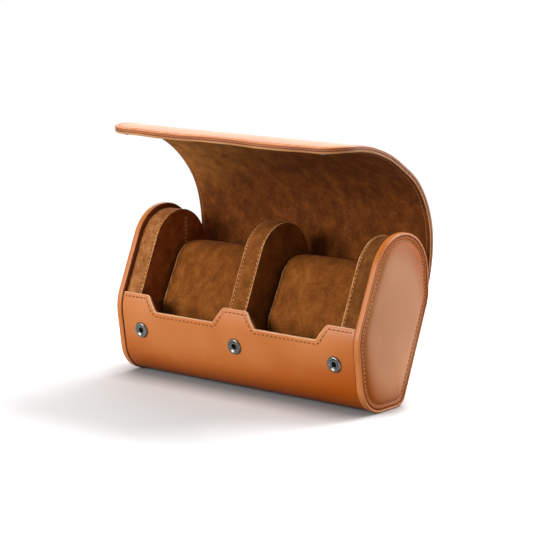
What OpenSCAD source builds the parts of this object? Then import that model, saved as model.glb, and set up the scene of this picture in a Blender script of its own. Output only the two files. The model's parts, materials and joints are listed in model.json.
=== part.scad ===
// Two-watch travel roll: a leather case with an oval section, two end caps, a divider,
// a flexible snap-down lid and two lift-out pillows.
// Millimetres. Z up, front towards -Y, X along the case. The origin is on the floor under the
// middle of the whole part with its lid open.

/* [Case outline] */
// Length over the two end-cap rims
case_len = 178; // [150:1:220]
// Width of the flat strip that the case stands on
foot_flat = 14; // [10:0.5:18]
// Depth position of that strip
foot_y = -1.2; // [-3:0.1:1]
// Roundness of the lower front
foot_front_r = 20; // [17:0.5:23]
// Roundness of the lower back
foot_back_r = 9; // [7:0.25:10]
// Roundness of the front belly
front_r = 26.5; // [24:0.5:29]
// Depth position of the front belly
front_y = -4.7; // [-7:0.1:-2]
// Height of the front belly
front_z = 40.6; // [38:0.2:43]
// Roundness of the back
back_r = 23; // [21:0.5:25]
// Depth position of the back
back_y = 12.8; // [11:0.1:15]
// Height of the back
back_z = 62.6; // [60:0.2:65]
// Roundness of the top
top_r = 26; // [24.5:0.5:27]
// Depth position of the top
top_y = 8.8; // [7:0.1:11]
// Height of the top roundness
top_z = 72.6; // [71:0.2:75]

/* [Leather, board and suede] */
// How far the wrap lies inside the cap rims
wrap_inset = 0.6; // [0.5:0.1:1.5]
// Leather thickness
leather_t = 1.6; // [1.2:0.1:1.9]
// Stiffener board thickness
board_t = 0.8; // [0.6:0.1:1]
// Suede thickness
suede_t = 1; // [0.8:0.1:1.2]
// Height of the front panel's peaks
peak_z = 50.2; // [48:0.2:52]
// Depth of the two notches in the front panel
notch_depth = 9.3; // [6:0.1:12]
// Half width of the middle peak
mid_peak_half = 8.7; // [7:0.1:11]
// Width of each notch at its mouth
notch_w = 57; // [50:0.5:60]
// Sideways run of each notch's sloping end
notch_slope = 6.5; // [3:0.1:9]

/* [End caps] */
// Thickness of the rim band round each cap
band_t = 1.6; // [1.2:0.1:2]
// Width of the rim seen from the side of the case
rim_w = 3.9; // [3.4:0.1:5]
// Board inside each cap
cap_board_t = 1.8; // [1.2:0.1:2]
// How far the padded face stands out at its middle
dome_rise = 1.8; // [1:0.1:2.5]
// Flat sewn margin round the padded face
margin_w = 3.6; // [3:0.1:5]

/* [Side pads and divider] */
// Thickness of each side pad
pad_t = 12.2; // [9:0.1:14]
// Thickness of the divider
divider_t = 13; // [9:0.5:16]

/* [Lid] */
// Thickness of the lid
lid_t = 3.4; // [3:0.1:3.6]
// Height at which the lid leaves the back
hinge_z = 51.6; // [51.2:0.1:52]
// Direction in which the open lid leaves the back
lid_start = 47; // [46:0.5:48.5]
// Radius of the lid's corners
corner_r = 16; // [8:1:22]
// Clearance beside the lid
lid_side_gap = 0.5; // [0.4:0.1:1]

/* [Snaps] */
// Diameter of the socket on the front panel
socket_d = 9.4; // [8:0.1:10]
// Height of the socket above the leather
socket_h = 1.2; // [1:0.1:1.4]
// Diameter of the stud that enters the socket
stud_d = 2.4; // [2:0.1:2.6]
// Height of the three snaps
snap_z = 28.6; // [26:0.2:31]
// Distance from each end of the case to the outer snap
snap_margin = 18; // [18:0.5:30]

/* [Pillows] */
// Thickness of a pillow
pillow_t = 36; // [33:0.5:36.5]
// Extra height of a pillow over its thickness
pillow_rise = 25; // [20:0.5:26]
// Lean of a pillow from upright
pillow_lean = 28; // [24:1:30]
// Height of the middle of a pillow
pillow_z = 51.1; // [49.6:0.1:51.6]
// Gap at each end of a pillow
pillow_side_gap = 1; // [0.5:0.1:3]
// Height of the foam seat under a pillow
seat_z = 31.6; // [29:0.2:33]

/* [Hidden] */

$fa = 4;
$fs = 0.6;
fit = 0.1;            // glued or sewn pieces
clear = 0.25;         // pieces that move past each other
far = 400;            // longer than anything in the part
hair = 0.005;         // straight runs stay this far inside the rounds that they join

tan_leather = [0.78, 0.47, 0.27];
edge_leather = [0.86, 0.60, 0.40];
brown_suede = [0.42, 0.26, 0.13];
grey_board = [0.55, 0.47, 0.36];
pale_foam = [0.86, 0.80, 0.66];
gunmetal = [0.36, 0.37, 0.40];

half_len = case_len / 2;
body_half = half_len - rim_w;                       // inner face of each cap
pad_x = body_half - pad_t;                          // inner face of each side pad
div_half = divider_t / 2;
board_inset = wrap_inset + leather_t;
lining_inset = board_inset + board_t;
bay_inset = lining_inset + suede_t;                 // clear inside of a bay
pad_inset = lining_inset + fit;                     // outline of pads and divider

// The outline, anticlockwise: circles that a taut wrap runs round
outline = [
    [foot_y + foot_flat / 2, foot_back_r, foot_back_r],
    [back_y, back_z, back_r],
    [top_y, top_z, top_r],
    [front_y, front_z, front_r],
    [foot_y - foot_flat / 2, foot_front_r, foot_front_r],
];
arcs = len(outline);

function dir(a) = [cos(a), sin(a)];
function centre_of(i) = [outline[i % arcs][0], outline[i % arcs][1]];
function radius_of(i) = outline[i % arcs][2];
// Direction that the straight run after circle i faces
function run_normal(i) =
    let (step = centre_of(i + 1) - centre_of(i), grow = radius_of(i + 1) - radius_of(i))
    atan2(step[1], step[0]) - 90 - asin(grow / norm(step));
// Both ends of the straight run after circle i, at a distance inside the outline
function run_points(i, inset) = [
    centre_of(i) + (radius_of(i) - inset) * dir(run_normal(i)),
    centre_of(i + 1) + (radius_of(i + 1) - inset) * dir(run_normal(i)),
];
// Point on a straight run at a height
function on_run(i, inset, z) =
    let (ends = run_points(i, inset), share = (z - ends[0][1]) / (ends[1][1] - ends[0][1]))
    ends[0] + share * (ends[1] - ends[0]);

// Section and length -------------------------------------------------------------------

function arc_start(i) = run_normal((i + arcs - 1) % arcs);
function arc_sweep(i) = (run_normal(i) - arc_start(i) + 720) % 360;

module section(inset) {
    polygon([for (i = [0 : arcs - 1]) each run_points(i, inset + hair)]);
    for (i = [0 : arcs - 1])
        translate(centre_of(i))
            circle(radius_of(i) - inset);
}

// Stands a drawing of depth and height up and runs it along X from x0 to x1
module along(x0, x1)
    translate([x0, 0, 0])
        rotate([90, 0, 90])
            linear_extrude(x1 - x0)
                children();

module ring(outer, inner)
    difference() {
        section(outer);
        section(inner);
    }

module both_ends() {
    children();
    mirror([1, 0, 0])
        children();
}

module place_end(side)
    mirror([side < 0 ? 1 : 0, 0, 0])
        children();

// Open mouth of the case ---------------------------------------------------------------

back_run = 0;
back_normal = dir(run_normal(back_run));
lid_mid_inset = pad_inset - 0.4 - lid_t / 2;        // middle of the lid where it leaves the back
hinge = on_run(back_run, lid_mid_inset, hinge_z);

// Everything above the front edge, less a drop, and beyond the hinge line
module mouth(drop = 0)
    polygon([
        [-far, peak_z - drop],
        [0, peak_z - drop],
        hinge - 20 * back_normal,
        hinge + 20 * back_normal,
        [far, far],
        [-far, far],
    ]);

// The two notches, cut from the front; drop lowers a lining below the leather edge
module notches(drop = 0)
    both_ends()
        rotate([90, 0, 0])
            linear_extrude(far)
                polygon([
                    [mid_peak_half, peak_z],
                    [mid_peak_half + notch_slope, peak_z - notch_depth - drop],
                    [mid_peak_half + notch_w - notch_slope, peak_z - notch_depth - drop],
                    [mid_peak_half + notch_w, peak_z],
                    [mid_peak_half + notch_w, far],
                    [mid_peak_half, far],
                ]);

module wrapped(x0, x1, outer, inner, drop = 0)
    difference() {
        along(x0, x1)
            difference() {
                ring(outer, inner);
                mouth(drop);
            }
        notches(drop);
    }

// Snaps --------------------------------------------------------------------------------

front_run = 3;
snap_normal = run_normal(front_run);
snap_seat = on_run(front_run, wrap_inset, snap_z);
snap_shank_d = 4.4;
snap_pitch = half_len - snap_margin;                // from the middle snap to each outer one
snap_bore_d = stud_d + 0.9;
snap_back_d = 8.4;
snap_back_t = 0.5;

// Puts a part on each snap's axis, with +Z out of the front panel
module at_snaps()
    for (x = [-snap_pitch, 0, snap_pitch])
        translate([x, snap_seat[0], snap_seat[1]])
            rotate([snap_normal - 90, 0, 0])
                children();

module snap_holes()
    at_snaps()
        translate([0, 0, -leather_t - board_t - fit])
            cylinder(d = snap_shank_d + 2 * fit, h = 2 * leather_t + board_t);

module snap_back_pockets()
    at_snaps()
        translate([0, 0, -leather_t - board_t - snap_back_t - 3 * fit])
            cylinder(d = snap_back_d + 4 * fit, h = snap_back_t + 3 * fit);

module front_snap_sockets()
    color(gunmetal)
        at_snaps()
            rotate_extrude()
                difference() {
                    union() {
                        translate([0, -leather_t - board_t])
                            square([snap_shank_d / 2, leather_t + board_t]);
                        square([socket_d / 2 - socket_h / 2, socket_h]);
                        translate([socket_d / 2 - socket_h / 2, socket_h / 2])
                            circle(socket_h / 2);
                    }
                    translate([-1, -leather_t - board_t - 1])
                        square([1 + snap_bore_d / 2, far]);
                    translate([snap_bore_d / 2 + 1.2, socket_h])
                        circle(0.35);
                }

module front_snap_backs()
    color(gunmetal)
        at_snaps()
            translate([0, 0, -leather_t - board_t - snap_back_t - fit / 2])
                cylinder(d = snap_back_d, h = snap_back_t);

// Case body ----------------------------------------------------------------------------

module case_wrap()
    color(tan_leather)
        difference() {
            wrapped(-body_half, body_half, wrap_inset, board_inset);
            snap_holes();
        }

module case_board()
    color(grey_board)
        difference() {
            wrapped(-body_half, body_half, board_inset, lining_inset, suede_t);
            snap_holes();
        }

module bay_lining(side)
    color(brown_suede)
        place_end(side)
            difference() {
                wrapped(div_half + fit, pad_x - fit, lining_inset, bay_inset, suede_t / 2);
                snap_back_pockets();
            }

module bay_seat(side)
    color(pale_foam)
        place_end(side)
            along(div_half + 2 * fit, pad_x - 2 * fit)
                difference() {
                    intersection() {
                        section(bay_inset + fit);
                        translate([-far, -far])
                            square([2 * far, far + seat_z]);
                    }
                    pillow_section(-2 * fit);
                }

// Half-round roll that the lid bends round, sewn to the end of the wrap
module back_fold()
    color(tan_leather)
        along(-lid_half, lid_half)
            fold_nose(hinge, run_normal(back_run) + 90);

// End caps -----------------------------------------------------------------------------

cap_liner_t = 0.5;
cap_board_x = body_half + cap_liner_t;
cap_face_x = cap_board_x + cap_board_t;
face_inset = band_t + 0.3;
dome_inset = face_inset + margin_w;
skin_t = 1.2;
margin_x = half_len - 0.3;
puff_mid = [(back_y + front_y) / 2 - 2, (top_z + foot_front_r) / 2];

// Points all round the outline
function outline_points(inset) = [
    for (i = [0 : arcs - 1])
        let (steps = ceil(arc_sweep(i) / 9))
        for (j = [0 : steps])
            centre_of(i) + (radius_of(i) - inset) * dir(arc_start(i) + arc_sweep(i) * j / steps)
];

// Padded face: steep at its edge and nearly flat at its middle
puff_scales = [1, 0.98, 0.94, 0.87, 0.76, 0.6, 0.35];

module puffed(inset, x0, x1, rise) {
    edge = outline_points(inset);
    n = len(edge);
    rings = [[1, x0], for (s = puff_scales) [s, x1 + rise * sqrt(1 - s ^ 4)]];
    points = [
        for (r = rings)
            for (p = edge)
                let (q = puff_mid + r[0] * (p - puff_mid))
                [r[1], q[0], q[1]]
    ];
    sides = [
        for (k = [0 : len(rings) - 2])
            for (j = [0 : n - 1])
                [k * n + j, (k + 1) * n + j, (k + 1) * n + (j + 1) % n, k * n + (j + 1) % n]
    ];
    polyhedron(points, [
        [for (j = [0 : n - 1]) j],
        each sides,
        [for (j = [n - 1 : -1 : 0]) (len(rings) - 1) * n + j],
    ]);
}

module cap_rim(side)
    color(tan_leather)
        place_end(side)
            along(body_half, half_len)
                ring(0, band_t);

module cap_lining(side)
    color(tan_leather)
        place_end(side)
            along(body_half, cap_board_x)
                section(band_t);

module cap_board(side)
    color(grey_board)
        place_end(side)
            along(cap_board_x, cap_face_x)
                section(face_inset);

module cap_foam_shape()
    puffed(dome_inset + skin_t, cap_face_x, margin_x - skin_t, dome_rise);

module cap_face(side)
    color(tan_leather)
        place_end(side)
            difference() {
                union() {
                    along(cap_face_x, margin_x)
                        section(face_inset);
                    puffed(dome_inset, cap_face_x, margin_x, dome_rise);
                }
                cap_foam_shape();
                along(margin_x - 0.3, half_len + dome_rise)
                    ring(face_inset + 1.7, face_inset + 2.5);
            }

module cap_foam(side)
    color(pale_foam)
        place_end(side)
            cap_foam_shape();

// Side pads and divider ----------------------------------------------------------------

module pad_band(side)
    color(tan_leather)
        difference() {
            place_end(side)
                along(pad_x, body_half)
                    ring(pad_inset, pad_inset + suede_t);
            snap_back_pockets();
        }

module pad_face(side)
    color(brown_suede)
        place_end(side)
            along(pad_x, pad_x + suede_t)
                section(pad_inset + suede_t);

module pad_foam(side)
    color(pale_foam)
        place_end(side)
            along(pad_x + suede_t, body_half)
                section(pad_inset + suede_t);

module divider_band()
    color(brown_suede)
        difference() {
            along(-div_half, div_half)
                ring(pad_inset, pad_inset + suede_t);
            snap_back_pockets();
        }

module divider_face(side)
    color(brown_suede)
        place_end(side)
            along(div_half - suede_t, div_half)
                section(pad_inset + suede_t);

module divider_core()
    color(grey_board)
        along(suede_t - div_half, div_half - suede_t)
            section(pad_inset + suede_t);

// Lid ----------------------------------------------------------------------------------
// The flexible lid as five stretches, from the hinge to the free edge. Each is
// [length, angle that it curls through], and bends at its root as the lid shuts.

rear_len = 34;
shoulder_len = 18;
top_len = 20;
slope_len = 40;
front_len = 46;
stretches = [[rear_len, 46], [shoulder_len, 13], [top_len, 22], [slope_len, 30], [front_len, 26]];
shut_turn = 17.4;                                   // turn at the hinge from open to shut
bend_shares = [1, 1.288, 1.185, 1.358, 0.415];         // turn at each root, against the hinge's
closed_bend = shut_turn * bend_shares;
lid_half = body_half - lid_side_gap;
lid_leather_t = leather_t;
lid_board_t = board_t;
lid_suede_t = lid_t - lid_leather_t - lid_board_t;

function sum_to(list, n, i) = n <= 0 ? 0 : list[n - 1][i] + sum_to(list, n - 1, i);
function start_dir(k) = lid_start + sum_to(stretches, k, 1);
function bend_r(k) = stretches[k][0] * 180 / PI / stretches[k][1];
function joint_at(k) = k == 0 ? hinge :
    joint_at(k - 1) + bend_r(k - 1) * (dir(start_dir(k) - 90) - dir(start_dir(k - 1) - 90));
function bend_centre(k) = joint_at(k) - bend_r(k) * dir(start_dir(k) - 90);

fold_r = lid_t / 2;

// The half of a roll that lies beyond the end of a stretch which runs in direction a
module fold_nose(at, a)
    translate(at)
        rotate(a)
            intersection() {
                circle(fold_r);
                translate([0, -fold_r])
                    square([fold_r, 2 * fold_r]);
            }

// Room for the roll before, and for what comes round as the lid shuts
module fold_room(k)
    translate(joint_at(k))
        rotate(start_dir(k)) {
            circle(fold_r + clear);
            polygon([[0, 0], [fold_r * 2, fold_r * 2.2], [-fold_r * 2, fold_r * 2.2], [-fold_r * 2, 0]]);
        }

// Drawing of one layer of one stretch, between two distances from its middle line
module layer(k, outer, inner) {
    a0 = start_dir(k) - 90;
    a1 = a0 + stretches[k][1];
    reach = 2 * bend_r(k);
    difference() {
        translate(bend_centre(k))
            intersection() {
                difference() {
                    circle(bend_r(k) + outer);
                    circle(bend_r(k) + inner);
                }
                polygon([[0, 0], reach * dir(a0), reach * dir((a0 + a1) / 2), reach * dir(a1)]);
            }
        fold_room(k);
    }
}

last = len(stretches) - 1;
lid_end = joint_at(last) + bend_r(last)
    * (dir(start_dir(last) + stretches[last][1] - 90) - dir(start_dir(last) - 90));
lid_end_dir = start_dir(last) + stretches[last][1] - stretches[last][1] * corner_r / stretches[last][0] / 2;

// What the rounded corners take off the free edge
module corner_cuts()
    translate([0, lid_end[0], lid_end[1]])
        rotate([lid_end_dir - 90, 0, 0])
            both_ends()
                translate([lid_half - corner_r, 0, -corner_r])
                    rotate([90, 0, 0])
                        linear_extrude(40, center = true)
                            difference() {
                                square(2 * corner_r);
                                circle(corner_r + 6 * hair);
                            }

module lid_layer(k, outer, inner)
    difference() {
        along(-lid_half, lid_half)
            layer(k, outer, inner);
        if (k == last)
            corner_cuts();
    }

// Carries a thing drawn where the shut lid has it back to the open lid
module from_shut(k)
    if (k < 0)
        children();
    else
        translate([0, joint_at(k)[0], joint_at(k)[1]])
            rotate([-closed_bend[k], 0, 0])
                translate([0, -joint_at(k)[0], -joint_at(k)[1]])
                    from_shut(k - 1)
                        children();

// The same for one point of depth and height
function turned(p, about, a) = about + [
    cos(a) * (p - about)[0] - sin(a) * (p - about)[1],
    sin(a) * (p - about)[0] + cos(a) * (p - about)[1],
];
function opened(p, k) = k < 0 ? p : turned(opened(p, k - 1), joint_at(k), -closed_bend[k]);

// Gap between the front panel and the shut lid, along a snap's axis
open_seat = opened(snap_seat, last);
open_normal = opened(snap_seat + dir(snap_normal), last) - open_seat;
seat_to_centre = open_seat - bend_centre(last);
seat_along = seat_to_centre * open_normal;
lid_inner_r = bend_r(last) - fold_r;
lid_gap = sqrt(seat_along * seat_along - seat_to_centre * seat_to_centre + lid_inner_r * lid_inner_r)
    - seat_along;

stud_flange_d = 4.8;
stud_flange_t = 0.6;
// The lid leans a little against the snap's axis, so the flange starts this far off its face
lid_lean = acos((seat_along + lid_gap) / lid_inner_r);
stud_flange_off = stud_flange_d / 2 * (tan(lid_lean) + stud_flange_d / 4 / lid_inner_r);
lid_back_d = 8;
lid_back_t = 0.5;
lid_under_t = lid_suede_t + lid_board_t;            // suede and board, up to the leather

module at_lid_snaps()
    from_shut(last)
        at_snaps()
            translate([0, 0, lid_gap])
                children();

module lid_snap_holes()
    at_lid_snaps()
        translate([0, 0, -1])
            cylinder(d = stud_d + 2 * fit, h = 1 + lid_under_t + lid_back_t);

module lid_back_pockets()
    at_lid_snaps()
        translate([0, 0, lid_under_t - 0.3])
            cylinder(d = lid_back_d + 2 * fit, h = 0.3 + lid_back_t + 2 * fit);

module lid_snap_studs()
    color(gunmetal)
        at_lid_snaps() {
            translate([0, 0, fit - lid_gap + 0.2])
                cylinder(d = stud_d, h = lid_gap - fit - 0.2 + lid_under_t);
            translate([0, 0, -stud_flange_t - stud_flange_off])
                cylinder(d = stud_flange_d, h = stud_flange_t);
        }

module lid_snap_backs()
    color(gunmetal)
        at_lid_snaps()
            translate([0, 0, lid_under_t])
                cylinder(d = lid_back_d, h = lid_back_t);

module lid_leather(k)
    color(tan_leather)
        difference() {
            lid_layer(k, fold_r, fold_r - lid_leather_t);
            if (k == last)
                lid_back_pockets();
        }

module lid_board(k)
    color(grey_board)
        difference() {
            lid_layer(k, fold_r - lid_leather_t, lid_suede_t - fold_r);
            if (k == last) {
                lid_back_pockets();
                lid_snap_holes();
            }
        }

module lid_suede(k)
    color(brown_suede)
        difference() {
            lid_layer(k, lid_suede_t - fold_r, -fold_r);
            if (k == last)
                lid_snap_holes();
        }

// Roll at the far end of stretch k
module lid_fold(k)
    color(tan_leather)
        along(-lid_half, lid_half)
            fold_nose(joint_at(k + 1), start_dir(k + 1));

// Pillows ------------------------------------------------------------------------------

pillow_r = pillow_t / 2;
pillow_up = [sin(pillow_lean), cos(pillow_lean)];
bay_wall = on_run(back_run, bay_inset, pillow_z);
// The top of a pillow leans on the back wall of its bay
pillow_y = bay_wall[0] - (pillow_r + clear) / back_normal[0]
    - pillow_rise / 2 * (pillow_up[0] + pillow_up[1] * back_normal[1] / back_normal[0]);
pillow_mid = [pillow_y, pillow_z];
pillow_half = (pad_x - div_half) / 2 - pillow_side_gap;
bay_mid = (pad_x + div_half) / 2;

module pillow_section(inset) {
    r = pillow_r - inset;
    side = (r - hair) * [pillow_up[1], -pillow_up[0]];
    top = pillow_mid + pillow_rise / 2 * pillow_up;
    foot = pillow_mid - pillow_rise / 2 * pillow_up;
    for (end = [top, foot])
        translate(end)
            circle(r);
    polygon([foot + side, top + side, top - side, foot - side]);
}

module pillow_cover(side)
    color(brown_suede)
        place_end(side)
            along(bay_mid - pillow_half, bay_mid + pillow_half)
                difference() {
                    pillow_section(0);
                    pillow_section(suede_t);
                }

module pillow_foam(side)
    color(pale_foam)
        place_end(side)
            along(bay_mid - pillow_half + suede_t, bay_mid + pillow_half - suede_t)
                pillow_section(suede_t);

module pillow_ends(side)
    color(brown_suede)
        place_end(side)
            for (x = [bay_mid - pillow_half, bay_mid + pillow_half - suede_t])
                along(x, x + suede_t)
                    pillow_section(suede_t);

// Nodes --------------------------------------------------------------------------------

case_wrap();
case_board();
bay_lining(-1);  // bay_lining_left
bay_lining(1);  // bay_lining_right
bay_seat(-1);  // bay_seat_left
bay_seat(1);  // bay_seat_right
back_fold();
front_snap_sockets();
front_snap_backs();
cap_rim(-1);  // cap_rim_left
cap_rim(1);  // cap_rim_right
cap_lining(-1);  // cap_lining_left
cap_lining(1);  // cap_lining_right
cap_board(-1);  // cap_board_left
cap_board(1);  // cap_board_right
cap_face(-1);  // cap_face_left
cap_face(1);  // cap_face_right
cap_foam(-1);  // cap_foam_left
cap_foam(1);  // cap_foam_right
pad_band(-1);  // pad_band_left
pad_band(1);  // pad_band_right
pad_face(-1);  // pad_face_left
pad_face(1);  // pad_face_right
pad_foam(-1);  // pad_foam_left
pad_foam(1);  // pad_foam_right
divider_band();
divider_face(-1);  // divider_face_left
divider_face(1);  // divider_face_right
divider_core();
lid_leather(0);  // lid_rear_leather
lid_board(0);  // lid_rear_board
lid_suede(0);  // lid_rear_suede
lid_fold(0);  // lid_rear_fold
lid_leather(1);  // lid_shoulder_leather
lid_board(1);  // lid_shoulder_board
lid_suede(1);  // lid_shoulder_suede
lid_fold(1);  // lid_shoulder_fold
lid_leather(2);  // lid_top_leather
lid_board(2);  // lid_top_board
lid_suede(2);  // lid_top_suede
lid_fold(2);  // lid_top_fold
lid_leather(3);  // lid_slope_leather
lid_board(3);  // lid_slope_board
lid_suede(3);  // lid_slope_suede
lid_fold(3);  // lid_slope_fold
lid_leather(4);  // lid_front_leather
lid_board(4);  // lid_front_board
lid_suede(4);  // lid_front_suede
lid_snap_studs();
lid_snap_backs();
pillow_cover(-1);  // pillow_cover_left
pillow_cover(1);  // pillow_cover_right
pillow_foam(-1);  // pillow_foam_left
pillow_foam(1);  // pillow_foam_right
pillow_ends(-1);  // pillow_ends_left
pillow_ends(1);  // pillow_ends_right
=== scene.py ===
# %% [markdown]
# # A leather travel roll for two watches
# The real roll is a board shell wrapped in tan leather, with a padded cap at each end, a divider
# in the middle and a lid that is nothing but leather, board and suede, bending along its whole
# length. The fixed frame below carries every solid piece at its true place.
# Each step here dresses one piece of it: rounded edges, sewn seams, nap and grain.

# %% Load the frame
import bisect
import json
import math

import bmesh
import bpy
from mathutils import Matrix, Vector
from mathutils.bvhtree import BVHTree


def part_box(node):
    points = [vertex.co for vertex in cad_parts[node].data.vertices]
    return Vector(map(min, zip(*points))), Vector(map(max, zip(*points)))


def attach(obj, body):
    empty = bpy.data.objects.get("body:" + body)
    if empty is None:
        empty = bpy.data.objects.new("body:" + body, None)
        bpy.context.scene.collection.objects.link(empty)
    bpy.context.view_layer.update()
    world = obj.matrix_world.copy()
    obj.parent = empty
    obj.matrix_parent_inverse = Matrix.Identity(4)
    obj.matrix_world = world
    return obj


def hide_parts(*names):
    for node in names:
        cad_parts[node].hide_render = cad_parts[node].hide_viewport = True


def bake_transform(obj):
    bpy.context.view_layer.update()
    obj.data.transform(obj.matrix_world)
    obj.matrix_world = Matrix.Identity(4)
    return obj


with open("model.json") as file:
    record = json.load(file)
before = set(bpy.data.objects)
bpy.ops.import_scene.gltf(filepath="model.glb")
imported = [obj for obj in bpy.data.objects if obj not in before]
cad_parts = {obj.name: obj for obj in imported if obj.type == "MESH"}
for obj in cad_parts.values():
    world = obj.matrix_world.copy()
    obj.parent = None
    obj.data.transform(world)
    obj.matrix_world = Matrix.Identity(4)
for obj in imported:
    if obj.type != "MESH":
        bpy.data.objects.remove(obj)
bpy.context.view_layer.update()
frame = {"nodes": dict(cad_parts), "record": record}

# %% [markdown]
# Blender works in metres here and a leatherworker in millimetres, so one number turns the one
# into the other. The frame's nodes arrive selected, and an operator would act on them all, so
# everything is let go before the first piece.

# %% Units and a clean start
MM = 0.001


def let_go():
    """Back to object mode with nothing selected."""
    if bpy.context.object and bpy.context.object.mode != "OBJECT":
        bpy.ops.object.mode_set(mode="OBJECT")
    bpy.ops.object.select_all(action="DESELECT")


def take(piece, *others):
    """Select these pieces, the first one active."""
    let_go()
    for o in (piece, *others):
        o.select_set(True)
    bpy.context.view_layer.objects.active = piece


def named(name):
    """Name the piece that was just added, and its mesh."""
    piece = bpy.context.object
    piece.name = piece.data.name = name
    return piece


let_go()

# %% [markdown]
# ## Finishes
# Every finish is a small tree of nodes, so one helper adds a node, sets it and links it. Colours
# are written as a screen shows them, and one function turns them into the linear light that the
# shader wants.

# %% Node and colour helpers
def linear(code):
    """'#C87846' as linear red, green, blue and alpha."""
    parts = [int(code[i:i + 2], 16) / 255 for i in (1, 3, 5)]
    return [c / 12.92 if c <= 0.04045 else ((c + 0.055) / 1.055) ** 2.4 for c in parts] + [1.0]


def add(tree, kind, links=(), **settings):
    """Add a node. links are (input, output socket or value); settings are the node's own."""
    node = tree.nodes.new(kind)
    for key, value in settings.items():
        setattr(node, key, value)
    for key, value in dict(links).items():
        if isinstance(value, bpy.types.NodeSocket):
            tree.links.new(value, node.inputs[key])
        else:
            node.inputs[key].default_value = value
    return node


def finish(name):
    """An empty material: its tree, and its shader already joined to the output."""
    material = bpy.data.materials.new(name)
    material.use_nodes = True
    tree = material.node_tree
    tree.nodes.clear()
    shader = add(tree, "ShaderNodeBsdfPrincipled")
    add(tree, "ShaderNodeOutputMaterial", {"Surface": shader.outputs[0]})
    return material, tree, shader


def ramp(tree, factor, stops):
    """A colour ramp with stops of (place, hex colour)."""
    node = add(tree, "ShaderNodeValToRGB", {"Fac": factor})
    band = node.color_ramp
    while len(band.elements) < len(stops):
        band.elements.new(0.5)
    for element, (place, code) in zip(band.elements, stops):
        element.position = place
        element.color = linear(code)
    return node.outputs["Color"]


# %% [markdown]
# Smooth tan leather is calf or split hide with a thin, softly glossy finish coat. The coat leaves
# a fine pebble about 0.4 mm across, and the dye lies a little unevenly in patches of a few
# centimetres. The coat gives broad, soft highlights that pale the colour where they fall. A piece
# may also carry painted shade: it names a place that is left as it is, and away from it the colour
# grows deeper and the gloss duller, standing in for shade.

# %% Leather
CLOUDS = 26.0                                       # patches of dye, about 40 mm across
PORES = 1500.0                                      # pores, about 0.7 mm across


def place_on(tree, flat):
    """Coordinates in metres: the flat pattern's own for a bent piece, else the object's."""
    if flat:
        return add(tree, "ShaderNodeAttribute", attribute_name="flat").outputs["Vector"]
    return add(tree, "ShaderNodeTexCoord").outputs["Object"]


def leather(name, deep, mid, pale, rough=0.42, grain=0.4, flat=False, painted_shade=None):
    """Leather in three depths of one dye. grain is the pebble's size in millimetres, and painted_shade
    is the middle of the place left unshaded, its half size in metres and the painted shade's colour."""
    material, tree, shader = finish(name)
    at = place_on(tree, flat)
    cloud = add(tree, "ShaderNodeTexNoise", {"Vector": at, "Scale": CLOUDS, "Detail": 4.0,
                                             "Roughness": 0.5, "Distortion": 0.3})
    pebble = add(tree, "ShaderNodeTexVoronoi", {"Vector": at, "Scale": 1 / (grain * MM),
                                                "Randomness": 0.95}, feature="F1")
    pores = add(tree, "ShaderNodeTexNoise", {"Vector": at, "Scale": PORES, "Detail": 3.0})
    colour = ramp(tree, cloud.outputs[0], [(0.30, deep), (0.52, mid), (0.72, pale)])
    speck = add(tree, "ShaderNodeMix", {"Factor": 0.10, "A": colour,
                                        "B": ramp(tree, pores.outputs[0], [(0.35, deep), (0.6, pale)])},
                data_type="RGBA")
    # Painted shade: away from the given middle the colour deepens and the gloss is turned down.
    if painted_shade:
        middle, half, code = painted_shade
        off = add(tree, "ShaderNodeTexCoord").outputs["Object"]
        off = add(tree, "ShaderNodeVectorMath", {0: off, 1: middle}, operation="SUBTRACT")
        off = add(tree, "ShaderNodeVectorMath", {0: off.outputs[0], 1: half}, operation="DIVIDE")
        off = add(tree, "ShaderNodeVectorMath", {0: off.outputs[0]}, operation="LENGTH")
        near = add(tree, "ShaderNodeMapRange", {"Value": off.outputs["Value"], "From Min": 0.62,
                                                "From Max": 1.0}, interpolation_type="SMOOTHSTEP")
        speck = add(tree, "ShaderNodeMix", {"Factor": near.outputs[0], "A": speck.outputs["Result"],
                                            "B": linear(code)}, data_type="RGBA")
        dull = add(tree, "ShaderNodeMapRange", {"Value": near.outputs[0], "To Min": 0.5,
                                                "To Max": 0.12})
        tree.links.new(dull.outputs[0], shader.inputs["Specular IOR Level"])
    tree.links.new(speck.outputs["Result"], shader.inputs["Base Color"])
    gloss = add(tree, "ShaderNodeMapRange", {"Value": cloud.outputs[0], "To Min": rough - 0.05,
                                             "To Max": rough + 0.07})
    tree.links.new(gloss.outputs[0], shader.inputs["Roughness"])
    height = add(tree, "ShaderNodeMath", {0: pebble.outputs["Distance"], 1: pores.outputs[0]},
                 operation="ADD")
    bumps = add(tree, "ShaderNodeBump", {"Height": height.outputs[0], "Strength": 0.12,
                                         "Distance": 0.15 * MM})
    tree.links.new(bumps.outputs[0], shader.inputs["Normal"])
    shader.inputs["IOR"].default_value = 1.45
    return material


TAN = ("#B6621D", "#C06E2D", "#C97C3F")
wrap_leather = leather("smooth tan leather", *TAN)
# The caps' colours are paler and greyer than the wrap's, a painted sheen, and their painted shade
# deepens them towards the seam round the padded face.
cap_leather = leather("smooth tan leather of the caps", "#B06C34", "#B9743E", "#C37F4A",
                      painted_shade=((0, 0.002, 0.048), (10.0, 0.034, 0.05), "#A44F06"))
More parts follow.
